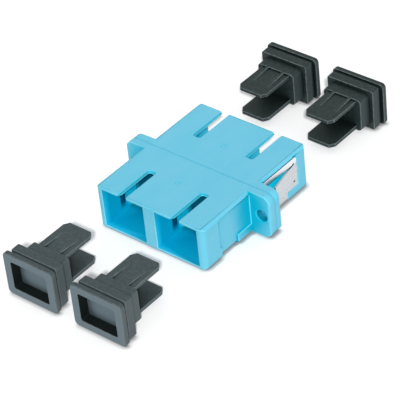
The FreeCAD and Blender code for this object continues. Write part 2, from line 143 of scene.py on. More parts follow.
class HousingFinish(bpy.types.PropertyGroup):
    """Sizes and colours of the two housing mouldings."""
    colour: colour_property("Aqua", "Colour of the moulded plastic", (0.124, 0.53, 0.71))
    streak_colour: colour_property("Flow tint", "Colour of faint flow marks", (0.15, 0.545, 0.725))
    # Painted shade: a deeper, darker aqua in open corners, where the openness finds close walls
    corner_shade_colour: colour_property("Corner shade", "Deeper colour in open corners",
                                   (0.0, 0.42, 0.59))
    # Painted shade: the front port walls are darker than the rear ones, and their floor darker
    # still deeper in
    front_port_shade_colour: colour_property("Front port shade", "Painted shade on the front port walls",
                                 (0.0, 0.37, 0.61))
    # Painted shade on the inner floor of the front ports
    shade_colour: colour_property("Inner port shade", "Colour of the front ports' inner floor",
                                  (0.0, 0.19, 0.30))
    # Painted shade: a dark patch on the front ports' side walls beside the latches
    gap_shade_colour: colour_property("Gap shade", "Dark colour of the side walls beside the latches",
                                (0.0, 0.06, 0.14))
    # Painted light: the rear port walls are lighter than the front ones
    rear_port_light_colour: colour_property("Rear port light", "Colour of the rear port walls",
                                      (0.0, 0.58, 0.82))
    # Painted light: a bright aqua on the seat that shows through the clip's window
    seat_light_colour: colour_property("Seat light", "Painted light on the seat under the clip",
                                 (0.0, 0.74, 1.0))
    # Painted shade: the slot walls are a deeper aqua than the moulding
    slot_shade_colour: colour_property("Slot shade", "Colour of the thin walls of the key slots",
                                 (0.05, 0.52, 0.71))
    # Painted highlight: a light line along the slots' lower edges
    slot_highlight_colour: colour_property("Slot highlight", "Light colour along the slots' lower edges",
                                      (0.12, 0.88, 1.0))
    # Painted shade: the screw holes are dark inside
    hole_shade_colour: colour_property("Hole shade", "Dark colour in the screw holes",
                                 (0.0, 0.26, 0.4))
    # Painted highlight on the rounded edges
    edge_highlight_colour: colour_property("Edge highlight", "Painted highlight on the rounded edges",
                                 (0.26, 0.82, 0.96))
    edge_highlight_strength: share_property("Edge highlight strength", "Strongest share of the edge tint", 0.6)
    weld_colour: colour_property("Weld tint", "Darker colour of the weld line",
                                 (0.09, 0.45, 0.62))
    flow_width: length_property("Flow width", "Width of the flow marks", 3.0 * MM)
    # Reach of the painted corner shade
    hollow_reach: length_property("Hollow reach", "How far walls deepen each other's colour",
                                  6.0 * MM)
    seat_place: length_property("Seat place", "Distance of the seat's flat sides from the middle",
                                12.5 * MM)
    seat_reach: length_property("Seat reach", "Distance that takes in the seat's sides", 0.03 * MM)
    port_reach: length_property("Port reach", "Half width that takes in a port's walls", 5.3 * MM)
    shade_place: length_property("Inner place", "Distance from the middle where the floor deepens",
                                 8.8 * MM)
    gap_place: length_property("Gap place", "Distance from the middle where the gap starts",
                               11.3 * MM)
    gap_height: length_property("Gap height", "Height above which the gap grows dark", 1.3 * MM)
    slot_height: length_property("Slot height", "Height over a port's axis where its slot starts",
                                 3.9 * MM)
    slot_highlight_height: length_property("Slot highlight height", "Height where the light line ends",
                                      8.68 * MM)
    slot_reach: length_property("Slot reach", "Half width that takes in a key slot", 1.2 * MM)
    hole_place: length_property("Hole place", "Screw hole's distance from the middle", 15.2 * MM)
    hole_reach: length_property("Hole reach", "Radius that takes in a screw hole's wall",
                                1.6 * MM)
    weld_reach: length_property("Weld reach", "Half width that takes in the weld line", 0.3 * MM)
    roughness: share_property("Roughness", "Roughness of the satin surface", 0.42)
    edge_radius: length_property("Edge radius", "Rounding of sharp edges", 0.12 * MM)
    grain_size: length_property("Grain size", "Width of the surface grain", 0.22 * MM)
    grain_depth: length_property("Grain depth", "Depth of the surface grain", 0.0012 * MM)


class HolderFinish(bpy.types.PropertyGroup):
    """Sizes and colours of the sleeve holders."""
    colour: colour_property("Holder", "Colour of the rear holders", (0.0, 0.5, 0.68))
    # Painted shade: the front holders are darker than the rear ones, and darkest deep in the ports
    tip_shade_colour: colour_property("Latch tips", "Colour of the front holders' latch tips",
                                (0.0, 0.32, 0.49))
    deep_shade_colour: colour_property("Deep holder shade", "Dark colour deep in the front ports",
                                 (0.0, 0.11, 0.21))
    tip_place: length_property("Tip place", "Distance from the middle where the tips start",
                               7.3 * MM)
    mottle_width: length_property("Mottle", "Width of the lighter spots", 0.8 * MM)
    roughness: share_property("Roughness", "Roughness of the holder plastic", 0.45)
    edge_radius: length_property("Edge radius", "Rounding of sharp edges", 0.06 * MM)
    grain_size: length_property("Grain size", "Width of the surface grain", 0.15 * MM)
    grain_depth: length_property("Grain depth", "Depth of the surface grain", 0.001 * MM)


class SleeveFinish(bpy.types.PropertyGroup):
    """Sizes and colours of the split sleeves."""
    colour: colour_property("Zirconia", "Colour of the ground ceramic", (0.88, 0.87, 0.82))
    roughness: share_property("Roughness", "Roughness of the ground ceramic", 0.22)
    edge_radius: length_property("Edge radius", "Rounding of sharp edges", 0.04 * MM)
    mark_width: length_property("Grinding marks", "Width of the grinding marks", 0.6 * MM)
    mark_depth: length_property("Mark depth", "Depth of the grinding marks", 0.0006 * MM)


class ClipFinish(bpy.types.PropertyGroup):
    """Sizes and colours of the panel clip."""
    colour: colour_property("Steel", "Colour of the rolled spring steel", (0.63, 0.635, 0.65))
    roughness: share_property("Roughness", "Roughness across the rolling marks", 0.3)
    edge_radius: length_property("Edge radius", "Rounding of the punched edges", 0.05 * MM)
    mark_width: length_property("Rolling marks", "Width of the marks left by rolling", 0.09 * MM)
    mark_depth: length_property("Mark depth", "Depth of the marks left by rolling", 0.0012 * MM)
    # Painted highlight: a brighter band where the strip bends over the housing
    bend_highlight_colour: colour_property("Bend", "Painted highlight where the strip bends over the housing",
                                 (0.79, 0.80, 0.82))
    bend_highlight_height: length_property("Bend height", "Height where the bend starts", 7.3 * MM)


class CapFinish(bpy.types.PropertyGroup):
    """Sizes and colours of the dust caps."""
    colour: colour_property("Cap", "Colour of the cap plastic", (0.017, 0.027, 0.026))
    # Painted light: the front caps are paler than the rear ones
    front_cap_light_colour: colour_property("Lit front cap", "Painted light on the front caps",
                                  (0.046, 0.063, 0.067))
    # Painted light on the outer face
    outer_face_light_colour: colour_property("Lit cap face", "Painted light on the outer face", (0.121, 0.164, 0.187))
    # Painted light: the sides are lighter than the tops
    side_light_colour: colour_property("Lit cap side", "Painted light on the sides", (0.040, 0.055, 0.058))
    front_cap_side_light_colour: colour_property("Lit front cap side", "Painted light on the front caps' sides",
                                       (0.082, 0.105, 0.112))
    # Painted shade: the pocket's walls are near black
    pocket_shade_colour: colour_property("Pocket shade", "Painted shade on the walls of the pocket",
                                   (0.007, 0.010, 0.010))
    # Painted shade in the inner corners and between the blades
    corner_shade_colour: colour_property("Corner shade", "Darker colour in the inner corners",
                                   (0.003, 0.005, 0.005))
    # Painted highlight on the rounded edges
    edge_highlight_colour: colour_property("Edge highlight", "Painted highlight on the rounded edges",
                                 (0.17, 0.20, 0.21))
    edge_highlight_strength: share_property("Edge highlight strength", "Strongest share of the edge tint", 0.65)
    mottle_width: length_property("Mottle", "Width of the paler spots", 0.7 * MM)
    corner_reach: length_property("Corner reach", "How far walls darken each other", 2.2 * MM)
    blade_reach: length_property("Blade reach", "How far the blades darken each other", 9.0 * MM)
    pocket_depth: length_property("Pocket", "Depth of the polished pocket in the outer face",
                                  2.3 * MM)
    pocket_reach: length_property("Pocket reach", "Half width that takes in the pocket's walls",
                                  5.6 * MM)
    roughness: share_property("Roughness", "Roughness of the cap plastic", 0.46)
    edge_radius: length_property("Edge radius", "Rounding of sharp edges", 0.13 * MM)
    grain_size: length_property("Grain size", "Width of the surface grain", 0.3 * MM)
    grain_depth: length_property("Grain depth", "Depth of the surface grain", 0.004 * MM)


class StageSetting(bpy.types.PropertyGroup):
    """Camera, light and floor."""
    azimuth: angle_property("Azimuth", "Camera's turn round the adapter from the front", 43.05)
    elevation: angle_property("Elevation", "Camera's height above the horizon", 37.62)
    roll: angle_property("Roll", "Camera's tilt about its own axis", -6.5)
    distance: length_property("Distance", "Camera's distance from the aim point", 425.0 * MM)
    aim: FloatVectorProperty(name="Aim", description="Point that the camera looks at",
                             default=(0.54 * MM, -1.88 * MM, 2.39 * MM), size=3,
                             precision=6, subtype="TRANSLATION", unit="LENGTH")
    lens: FloatProperty(name="Lens", description="Focal length in millimetres", default=203.9,
                        min=1.0, unit="CAMERA")
    ambient: strength_property("Ambient", "Strength of the even light", 0.47)
    lamp_power: strength_property("Lamp", "Strength of the distant lamp", 2.9)
    lamp_spread: angle_property("Lamp spread", "Angle that the distant lamp fills", 3.5)
    lamp_azimuth: angle_property("Lamp azimuth", "Lamp's turn round the adapter", 42.0)
    lamp_elevation: angle_property("Lamp elevation", "Lamp's height above the horizon", 37.5)
    floor_span: length_property("Floor", "Side of the square floor", 2000.0 * MM)
    floor_colour: colour_property("Floor colour", "Colour of the floor", (0.9, 0.9, 0.9))
    floor_shine: strength_property("Shine", "Strength of the floor's light as it is seen", 0.18)
    floor_glow: strength_property("Glow", "Strength of the floor's light on the pieces", 0.6)
    shadow_colour: colour_property("Shadow colour", "Colour of the contact shadow",
                                   (0.3, 0.3, 0.3))
    shadow_reach: length_property("Shadow", "Reach of the contact shadow", 1.15 * MM)


class AdapterSettings(bpy.types.PropertyGroup):
    """All settings of the adapter."""
    housing: PointerProperty(type=HousingFinish, name="Housing", description="Housing mouldings")
    holder: PointerProperty(type=HolderFinish, name="Holders", description="Sleeve holders")
    sleeve: PointerProperty(type=SleeveFinish, name="Sleeves", description="Split sleeves")
    clip: PointerProperty(type=ClipFinish, name="Clip", description="Panel clip")
    cap: PointerProperty(type=CapFinish, name="Caps", description="Dust caps")
    stage: PointerProperty(type=StageSetting, name="Stage", description="Camera, light and floor")


def settings():
    return bpy.context.scene.fibre_adapter


# --- Meshes -----------------------------------------------------------------------
def linked_object(name, data):
    piece = bpy.data.objects.new(name, data)
    bpy.context.scene.collection.objects.link(piece)
    return piece


def remove_object(piece):
    mesh = piece.data
    bpy.data.objects.remove(piece)
    bpy.data.meshes.remove(mesh)


def middle(node):
    """Middle of a construction node's box."""
    low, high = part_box(node)
    return (low + high) / 2.0


def room_beside(edge):
    """Shortest reach away from an edge of the faces that meet in it."""
    along = (edge.verts[1].co - edge.verts[0].co).normalized()
    room = math.inf
    for vert in edge.verts:
        for other in vert.link_edges:
            shares_face = any(face in edge.link_faces for face in other.link_faces)
            if other is edge or not shares_face:
                continue
            span = other.other_vert(vert).co - vert.co
            across = (span - along * span.dot(along)).length
            if across > ACROSS_SHARE * span.length:
                room = min(room, across)
    return room


def joined_mesh(node, radius):
    """Copy of a construction mesh with its flat faces joined and its sharp edges weighted."""
    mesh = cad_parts[node].data.copy()
    mesh.name = node + "_joined"
    shape = bmesh.new()
    shape.from_mesh(mesh)
    bmesh.ops.remove_doubles(shape, verts=shape.verts, dist=JOINING_REACH)
    bmesh.ops.dissolve_limit(shape, angle_limit=FLAT_ANGLE, verts=shape.verts, edges=shape.edges)
    weight = shape.edges.layers.float.new("bevel_weight_edge")
    for edge in shape.edges:
        if len(edge.link_faces) != 2:
            continue
        turn = edge.calc_face_angle_signed()
        if turn > SHARP_ANGLE:
            edge[weight] = min(1.0, ROOM_SHARE * room_beside(edge) / radius)
        elif turn < -SHARP_ANGLE:
            edge.smooth = False
    shape.to_mesh(mesh)
    shape.free()
    mesh.materials.clear()
    for slot in ("plain", "rounded"):
        mesh.materials.append(bpy.data.materials.get(slot) or bpy.data.materials.new(slot))
    mesh.shade_smooth()
    return mesh


def baked_mesh(piece, name):
    """The evaluated shape of an object as a plain mesh."""
    bpy.context.view_layer.update()
    graph = bpy.context.evaluated_depsgraph_get()
    mesh = bpy.data.meshes.new_from_object(piece.evaluated_get(graph), depsgraph=graph)
    mesh.name = name
    return mesh


def rounded_mesh(node, radius):
    """Mesh of a piece with its moulded or punched edges rounded."""
    piece = linked_object(node + "_rounding", joined_mesh(node, radius))
    rounding = piece.modifiers.new("rounding", "BEVEL")
    rounding.limit_method = "WEIGHT"
    rounding.width = radius
    rounding.segments = ROUNDING_STEPS
    rounding.use_clamp_overlap = False
    rounding.material = 1
    shading = piece.modifiers.new("shading", "WEIGHTED_NORMAL")
    shading.keep_sharp = True
    mesh = baked_mesh(piece, node + "_rounded")
    remove_object(piece)
    mark_rounded_faces(mesh)
    return mesh


def add_finished_piece(mesh, node, body, material):
    """Adds a piece that stands for one construction node and moves with its body."""
    piece = linked_object(node + "_piece", mesh)
    mesh.materials.clear()
    mesh.materials.append(material)
    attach(piece, body)
    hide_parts(node)


# --- Marks on faces ------------------------------------------------------------------
def face_marks(mesh, name):
    """The marks under a name, one for each face: as they stand, or new and all 0."""
    marks = mesh.attributes.get(name) or mesh.attributes.new(name, "FLOAT", "FACE")
    return marks.data


def mark_rounded_faces(mesh):
    """Keeps for the materials which faces the rounding made: they lie in the second slot."""
    rounded = face_marks(mesh, ROUNDED)
    for face in mesh.polygons:
        rounded[face.index].value = float(face.material_index)
        face.material_index = 0


def mark_walls(mesh, name, axes, reach, nearest=0.0, farthest=CAD_HIGH.y):
    """Marks the walls that look in at one of the axes along Y, no farther from it than the reach.

    Only faces between the nearest and the farthest distance from the middle are taken."""
    walls = face_marks(mesh, name)
    for face in mesh.polygons:
        if abs(face.normal.y) > math.sin(SHARP_ANGLE):
            continue
        if not nearest < abs(face.center.y) < farthest:
            continue
        for axis in axes:
            aside = (face.center - axis) * Vector((1.0, 0.0, 1.0))
            if max(abs(aside.x), abs(aside.z)) < reach and face.normal.dot(aside) < 0.0:
                walls[face.index].value = 1.0


def mark_slots(mesh, axes, height, reach):
    """Marks the walls of the key slots, which cut through the roof over each axis.

    Their edges are rounded too, but are no lighter than the walls."""
    walls = face_marks(mesh, SLOT_WALL)
    rounded = face_marks(mesh, ROUNDED)
    for face in mesh.polygons:
        upright = abs(face.normal.z) < math.sin(SHARP_ANGLE)
        for axis in axes:
            aside = face.center - axis
            if aside.z < height or abs(aside.x) > reach:
                continue
            rounded[face.index].value = 0.0
            if upright:
                walls[face.index].value = 1.0


def mark_seat(mesh, place, reach):
    """Marks the flat sides of the seat, near their distance from the middle."""
    seat = face_marks(mesh, CLIP_SEAT)
    for face in mesh.polygons:
        flat_side = abs(face.normal.x) > math.cos(SHARP_ANGLE)
        near = abs(abs(face.center.x) - place) < reach
        seat[face.index].value = float(flat_side and near)


def mark_weld(mesh, reach):
    """Marks the weld line in place of the rounded edges that make it."""
    weld = face_marks(mesh, WELD_LINE)
    rounded = face_marks(mesh, ROUNDED)
    for face in mesh.polygons:
        if abs(face.center.y) < reach and rounded[face.index].value > 0.0:
            rounded[face.index].value = 0.0
            weld[face.index].value = 1.0


def darken_rims(mesh, axes, reach):
    """Takes the rounding's mark, and with it the painted edge highlight, off the rims round the
    axes.
    """
    rounded = face_marks(mesh, ROUNDED)
    for face in mesh.polygons:
        for axis in axes:
            aside = face.center - axis
            if math.hypot(aside.x, aside.z) < reach:
                rounded[face.index].value = 0.0


# --- Node trees ----------------------------------------------------------------------
class Wiring:
    """A node tree being built."""

    def __init__(self, tree):
        self.tree = tree

    def new(self, kind, inputs=(), **options):
        """A node with its options set, and with numbers or colours on some of its inputs."""
        node = self.tree.nodes.new(kind)
        for name, value in options.items():
            setattr(node, name, value)
        for name, value in dict(inputs).items():
            node.inputs[name].default_value = value
        return node

    def join(self, source, target):
        self.tree.links.new(source, target)

    def fed(self, kind, sources, **options):
        """A node whose inputs, by name or number, come from sockets."""
        node = self.new(kind, **options)
        for name, source in sources.items():
            self.join(source, node.inputs[name])
        return node

    def calculate(self, operation, *values):
        """Result of a Math node's operation on the values of sockets."""
        sources = dict(enumerate(values))
        return self.fed("ShaderNodeMath", sources, operation=operation).outputs[0]

    def spread(self, value, low=NOISE_LOW, high=NOISE_HIGH, to_low=0.0, to_high=1.0):
        """A value stretched from one range to another."""
        limits = {"From Min": low, "From Max": high, "To Min": to_low, "To Max": to_high}
        node = self.new("ShaderNodeMapRange", limits)
        self.join(value, node.inputs["Value"])
        return node.outputs["Result"]

    def mixed_shaders(self, share, first, second):
        """The first shader where the share is 0, and the second where it is 1."""
        sources = dict(enumerate((share, first.outputs[0], second.outputs[0])))
        return self.fed("ShaderNodeMixShader", sources)

    def sees_background(self):
        """Value that is 1 for rays from the camera, and for reflected and passed ones."""
        rays = self.new("ShaderNodeLightPath")
        total = rays.outputs["Is Camera Ray"]
        for name in ("Is Glossy Ray", "Is Transmission Ray"):
            total = self.calculate("MAXIMUM", total, rays.outputs[name])
        return total


# --- Copies at the ports -------------------------------------------------------------
def port_copy_tree():
    """Node tree that sets a copy of a piece at one port, facing the front or the rear."""
    tree = bpy.data.node_groups.new(PORT_COPY, "GeometryNodeTree")
    wanted = (("Geometry", "NodeSocketGeometry"), ("Piece", "NodeSocketObject"),
              ("Centre", "NodeSocketFloat"), ("Across", "NodeSocketFloat"),
              ("Turn", "NodeSocketFloat"), ("Material", "NodeSocketMaterial"))
    for name, kind in wanted:
        tree.interface.new_socket(name=name, in_out="INPUT", socket_type=kind)
    tree.interface.new_socket(name="Geometry", in_out="OUTPUT", socket_type="NodeSocketGeometry")
    wiring = Wiring(tree)
    given = wiring.new("NodeGroupInput").outputs
    shape = wiring.fed("GeometryNodeObjectInfo", {"Object": given["Piece"]}).outputs["Geometry"]
    minus = wiring.new("ShaderNodeMath", {1: -1.0}, operation="MULTIPLY")
    wiring.join(given["Centre"], minus.inputs[0])
    # The shape moves to the adapter's middle plane, turns there, and moves out to its port
    steps = (("Translation", "X", minus.outputs[0]), ("Rotation", "Z", given["Turn"]),
             ("Translation", "X", given["Across"]))
    for change, axis, amount in steps:
        vector = wiring.fed("ShaderNodeCombineXYZ", {axis: amount}).outputs[0]
        moves = {"Geometry": shape, change: vector}
        shape = wiring.fed("GeometryNodeTransform", moves).outputs[0]
    real = wiring.fed("GeometryNodeRealizeInstances", {"Geometry": shape}).outputs[0]
    coats = {"Geometry": real, "Material": given["Material"]}
    coated = wiring.fed("GeometryNodeSetMaterial", coats).outputs[0]
    wiring.fed("NodeGroupOutput", {0: coated})
    return tree


def set_input(modifier, name, value):
    """Sets a node tree's named input on its modifier."""
    for item in modifier.node_group.interface.items_tree:
        if item.in_out == "INPUT" and item.name == name:
            modifier[item.identifier] = value


def copies_at_ports(mesh, source_node, targets, material):
    """Meshes of the source piece set at each target: {node: mesh}. Targets are (node, rear)."""
    source = linked_object(source_node + "_source", mesh)
    carrier = linked_object(source_node + "_carrier", bpy.data.meshes.new("carrier"))
    modifier = carrier.modifiers.new(PORT_COPY, "NODES")
    modifier.node_group = bpy.data.node_groups.get(PORT_COPY) or port_copy_tree()
    meshes = {}
    for node, rear in targets:
        set_input(modifier, "Piece", source)
        set_input(modifier, "Centre", middle(source_node).x)
        set_input(modifier, "Across", middle(node).x)
        set_input(modifier, "Turn", math.pi if rear else 0.0)
        set_input(modifier, "Material", material)
        carrier.update_tag()
        meshes[node] = baked_mesh(carrier, node + "_finished")
    carrier.modifiers.remove(modifier)
    remove_object(carrier)
    remove_object(source)
    return meshes


def end_and_side_targets(kind):
    """One target at each port for pieces of a kind, the rear ones turned round."""
    return [(f"{end}_{side}_{kind}", end == "rear") for end in ENDS for side in SIDES]


# --- Materials ---------------------------------------------------------------------------
class Shading(Wiring):
    """A material being built round one Principled shader."""

    def __init__(self, name):
        self.material = bpy.data.materials.new(name)
        self.material.use_nodes = True
        super().__init__(self.material.node_tree)
        self.shader = self.tree.nodes["Principled BSDF"]
        self.coordinates = self.new("ShaderNodeTexCoord")

    def constant(self, socket, value):
        self.shader.inputs[socket].default_value = value

    def part(self, output, axis):
        """One axis's part of the place (Object) or of the direction (Normal) of a face."""
        vector = {0: self.coordinates.outputs[output]}
        return self.fed("ShaderNodeSeparateXYZ", vector).outputs[axis]

    def noise(self, width, detail=2.0, stretch=(1.0, 1.0, 1.0)):
        """Noise with spots of the given width, drawn out along an axis by its stretch."""
        mapping = self.new("ShaderNodeMapping", {"Scale": [1.0 / share for share in stretch]})
        noise = self.new("ShaderNodeTexNoise", {"Scale": 1.0 / width, "Detail": detail})
        self.join(self.coordinates.outputs["Object"], mapping.inputs["Vector"])
        self.join(mapping.outputs[0], noise.inputs["Vector"])
        return noise.outputs["Fac"]

    def blend(self, share, first, second):
        """Mix of two colours, each given as numbers or as a socket."""
        node = self.fed("ShaderNodeMix", {"Factor": share}, data_type="RGBA")
        # The node's colour sockets go by number, because its other kinds have the same names
        first_input, second_input, result = node.inputs[6], node.inputs[7], node.outputs[2]
        for socket, colour in ((first_input, first), (second_input, second)):
            if isinstance(colour, bpy.types.NodeSocket):
                self.join(colour, socket)
            else:
                socket.default_value = (*colour, 1.0)
        return result

    def openness(self, reach):
        """Value that is 1 on open faces and falls to 0 deep between walls of the same piece."""
        return self.new("ShaderNodeAmbientOcclusion", {"Distance": reach},
                        samples=OPENNESS_SAMPLES, only_local=True).outputs["AO"]

    def marked(self, name):
        """Value that a face was marked with."""
        return self.new("ShaderNodeAttribute", attribute_name=name).outputs["Fac"]

    def edge_highlights(self, strongest, patchiness):
        """Share of the painted edge highlight on rounded faces, broken up in patches."""
        patches = self.spread(patchiness, to_low=LEAST_EDGE_HIGHLIGHT * strongest, to_high=strongest)
        return self.calculate("MULTIPLY", self.marked(ROUNDED), patches)

    def outward(self, start, end):
        """Share that grows from 0 to 1 on faces that look away from the adapter, far from it."""
        reach = self.calculate("MULTIPLY", self.part("Normal", "Y"), self.part("Object", "Y"))
        return self.spread(reach, start, end)

    def side_walls(self):
        """Share that grows from 0 to 1 on faces that look to the left or right."""
        sideways = self.calculate("ABSOLUTE", self.part("Normal", "X"))
        return self.spread(sideways, SIDE_WALL_START, SIDE_WALL_FULL)

    def toward_front(self, distance, blend_width):
        """Share that is 1 more than a distance before the adapter's middle, and 0 behind that."""
        return self.spread(self.part("Object", "Y"), -distance - blend_width,
                           -distance + blend_width, to_low=1.0, to_high=0.0)

    def above(self, height, blend_width):
        """Share that grows from 0 to 1 above the given height."""
        return self.spread(self.part("Object", "Z"), height, height + blend_width)

    def colour_from(self, socket):
        self.join(socket, self.shader.inputs["Base Color"])

    def roughness_from(self, value, mean, swing):
        """Roughness that follows a noise, up and down from its mean by the swing."""
        rough = self.spread(value, to_low=mean - swing, to_high=mean + swing)
        self.join(rough, self.shader.inputs["Roughness"])

    def relief_from(self, value, depth):
        """Surface relief with the given depth between its low and high places."""
        bump = self.new("ShaderNodeBump", {"Strength": 1.0, "Distance": depth})
        self.join(value, bump.inputs["Height"])
        self.join(bump.outputs[0], self.shader.inputs["Normal"])


def scaled(colour, share):
    """A colour made lighter or darker by a share."""
    return [share * value for value in colour]


def port_wall_colour(shading, wanted):
    """Colour inside the ports, painted light and shade: light in the rear ones, and dark deep in
    the front ones.
    """
    # Painted shade: the front ports' floor darkens deeper in
    floor = shading.blend(shading.toward_front(wanted.shade_place, blend_width=0.8 * MM),
                          wanted.shade_colour, wanted.front_port_shade_colour)
    # Painted shade beside the latches, on the side walls
    gap = shading.blend(shading.above(wanted.gap_height, blend_width=1.6 * MM),
                        wanted.front_port_shade_colour, wanted.gap_shade_colour)
    side = shading.blend(shading.toward_front(wanted.gap_place, blend_width=0.15 * MM),
                         gap, wanted.front_port_shade_colour)
    front = shading.blend(shading.side_walls(), floor, side)
    # Painted light in the rear ports, painted shade in the front ones
    return shading.blend(shading.toward_front(0.0, blend_width=1.0 * MM),
                         wanted.rear_port_light_colour, front)


def aqua_plastic():
    """Satin aqua moulding with a fine grain and faint flow marks along the ports, and painted shade
    and light in its corners, ports, slots, holes and clip seat.
    """
    wanted = settings().housing
    shading = Shading("aqua plastic")
    flow = shading.noise(wanted.flow_width, detail=3.0, stretch=(1.0, 3.0, 1.0))
    streaks = shading.spread(flow, low=0.35, high=0.7)
    body = shading.blend(streaks, wanted.colour, wanted.streak_colour)
    # Painted shade in the open corners, from the moulding's openness
    corner = shading.spread(shading.openness(wanted.hollow_reach), low=0.78, high=0.99,
                            to_low=1.0, to_high=0.0)
    body = shading.blend(corner, body, wanted.corner_shade_colour)
    # Painted highlight low on the slot walls, painted shade above it
    slot = shading.blend(shading.above(wanted.slot_highlight_height, blend_width=0.12 * MM),
                         wanted.slot_highlight_colour, wanted.slot_shade_colour)
    # Painted shade in the front ports, slots and screw holes, and painted light in the rear ports
    # and on the clip seat; the weld line's darker colour is its own
    for mark, colour in ((PORT_WALL, port_wall_colour(shading, wanted)), (SLOT_WALL, slot),
                         (CLIP_SEAT, wanted.seat_light_colour), (HOLE_WALL, wanted.hole_shade_colour),
                         (WELD_LINE, wanted.weld_colour)):
        body = shading.blend(shading.marked(mark), body, colour)
    # Painted highlight on the rounded edges, broken up by the flow marks
    edges = shading.edge_highlights(wanted.edge_highlight_strength, flow)
    shading.colour_from(shading.blend(edges, body, wanted.edge_highlight_colour))
    grain = shading.noise(wanted.grain_size, detail=3.0)
    shading.roughness_from(grain, wanted.roughness, swing=0.05)
    shading.relief_from(grain, wanted.grain_depth)
    shading.constant("IOR", 1.5)
    shading.constant("Specular IOR Level", 0.4)
    return shading.material


def holder_plastic():
    """Teal plastic of the sleeve holders, finely mottled, with painted shade that makes them darker
    in the front ports.
    """
    wanted = settings().holder
    shading = Shading("holder plastic")
    mottle = shading.spread(shading.noise(wanted.mottle_width))
    tip = shading.blend(mottle, wanted.tip_shade_colour, scaled(wanted.tip_shade_colour, 1.3))
    # Painted shade on the front holders, darkest deeper in than the latch tips
    front = shading.blend(shading.toward_front(wanted.tip_place, blend_width=0.3 * MM),
                          wanted.deep_shade_colour, tip)
    rear = shading.blend(mottle, wanted.colour, scaled(wanted.colour, 1.3))
    at_front = shading.toward_front(0.0, blend_width=0.3 * MM)
    shading.colour_from(shading.blend(at_front, rear, front))
    grain = shading.noise(wanted.grain_size)
    shading.roughness_from(grain, wanted.roughness, swing=0.06)
    shading.relief_from(grain, wanted.grain_depth)
    shading.constant("IOR", 1.5)
    return shading.material


def zirconia():
    """Ground ceramic, its grinding marks running round the sleeve."""
    wanted = settings().sleeve
    shading = Shading("zirconia")
    marks = shading.noise(wanted.mark_width, stretch=(1.0, 0.06, 1.0))
    darker = scaled(wanted.colour, 0.94)
    shading.colour_from(shading.blend(shading.spread(marks), darker, wanted.colour))
    shading.roughness_from(marks, wanted.roughness, swing=0.05)
    shading.relief_from(marks, wanted.mark_depth)
    shading.constant("IOR", 2.1)
    return shading.material


def spring_steel():
    """Rolled steel strip with fine marks along the housing, and a painted highlight where it bends
    over the top.
    """
    wanted = settings().clip
    shading = Shading("spring steel")
    marks = shading.noise(wanted.mark_width, detail=3.0, stretch=(1.0, 14.0, 1.0))
    streaks = shading.spread(marks, low=0.35, high=0.65)
    body = shading.blend(streaks, scaled(wanted.colour, 0.86), wanted.colour)
    # Painted highlight on the bend
    bend = shading.above(wanted.bend_highlight_height, blend_width=0.2 * MM)
    shading.colour_from(shading.blend(bend, body, wanted.bend_highlight_colour))
    shading.roughness_from(marks, wanted.roughness, swing=0.07)
    shading.relief_from(marks, wanted.mark_depth)
    shading.constant("Metallic", 1.0)
    return shading.material


def cap_plastic():
    """Dark satin plastic, with painted light on its outer face, its sides and the front caps,
    painted shade in its corners, between its blades and in its pocket, and painted highlights on
    its edges.
    """
    wanted = settings().cap
    shading = Shading("cap plastic")
    mottle = shading.noise(wanted.mottle_width, detail=4.0)
    patches = shading.spread(mottle, low=0.35, high=0.65)
    rear = shading.blend(patches, wanted.colour, scaled(wanted.colour, 1.5))
    # Painted light: the front caps are paler than the rear ones
    front = shading.blend(patches, wanted.front_cap_light_colour, scaled(wanted.front_cap_light_colour, 1.3))
    at_front = shading.toward_front(0.0, blend_width=5.0 * MM)
    body = shading.blend(at_front, rear, front)
    # Painted light on the sides, stronger on the front caps
    side = shading.blend(at_front, wanted.side_light_colour, wanted.front_cap_side_light_colour)
    # Painted shade between the blades
    between = shading.spread(shading.openness(wanted.blade_reach), low=0.35, high=0.72,
                             to_low=0.95, to_high=0.0)
    body = shading.blend(between, body, wanted.corner_shade_colour)
    body = shading.blend(shading.side_walls(), body, side)
    # Painted light on the outer face
    outer_face = shading.outward(start=0.8075 * CAD_HIGH.y, end=0.85 * CAD_HIGH.y)
    body = shading.blend(outer_face, body, wanted.outer_face_light_colour)
    # Painted shade in the inner corners
    corner = shading.spread(shading.openness(wanted.corner_reach), low=0.45, high=0.88,
                            to_low=0.65, to_high=0.0)
    body = shading.blend(corner, body, wanted.corner_shade_colour)
    # Painted shade on the pocket's walls
    body = shading.blend(shading.marked(POCKET_WALL), body, wanted.pocket_shade_colour)
    # Painted highlight on the rounded edges, broken up by the mottle
    edges = shading.edge_highlights(wanted.edge_highlight_strength, mottle)
    shading.colour_from(shading.blend(edges, body, wanted.edge_highlight_colour))
    grain = shading.noise(wanted.grain_size, detail=3.0)
    shading.roughness_from(grain, wanted.roughness, swing=0.07)
    shading.relief_from(grain, wanted.grain_depth)
    shading.constant("IOR", 1.42)
    shading.constant("Specular IOR Level", 0.18)
    return shading.material


# --- Stage -------------------------------------------------------------------------------
def white_surroundings(ambient):
    """World that lights at the ambient level and is seen as white."""
    world = bpy.data.worlds.new("white room")
    world.use_nodes = True
    wiring = Wiring(world.node_tree)
    wiring.tree.nodes.clear()
    light = wiring.new("ShaderNodeBackground", {"Color": WHITE, "Strength": ambient})
    seen = wiring.new("ShaderNodeBackground", {"Color": WHITE, "Strength": 1.0})
    both = wiring.mixed_shaders(wiring.sees_background(), light, seen)
    wiring.fed("ShaderNodeOutputWorld", {"Surface": both.outputs[0]})
    bpy.context.scene.world = world


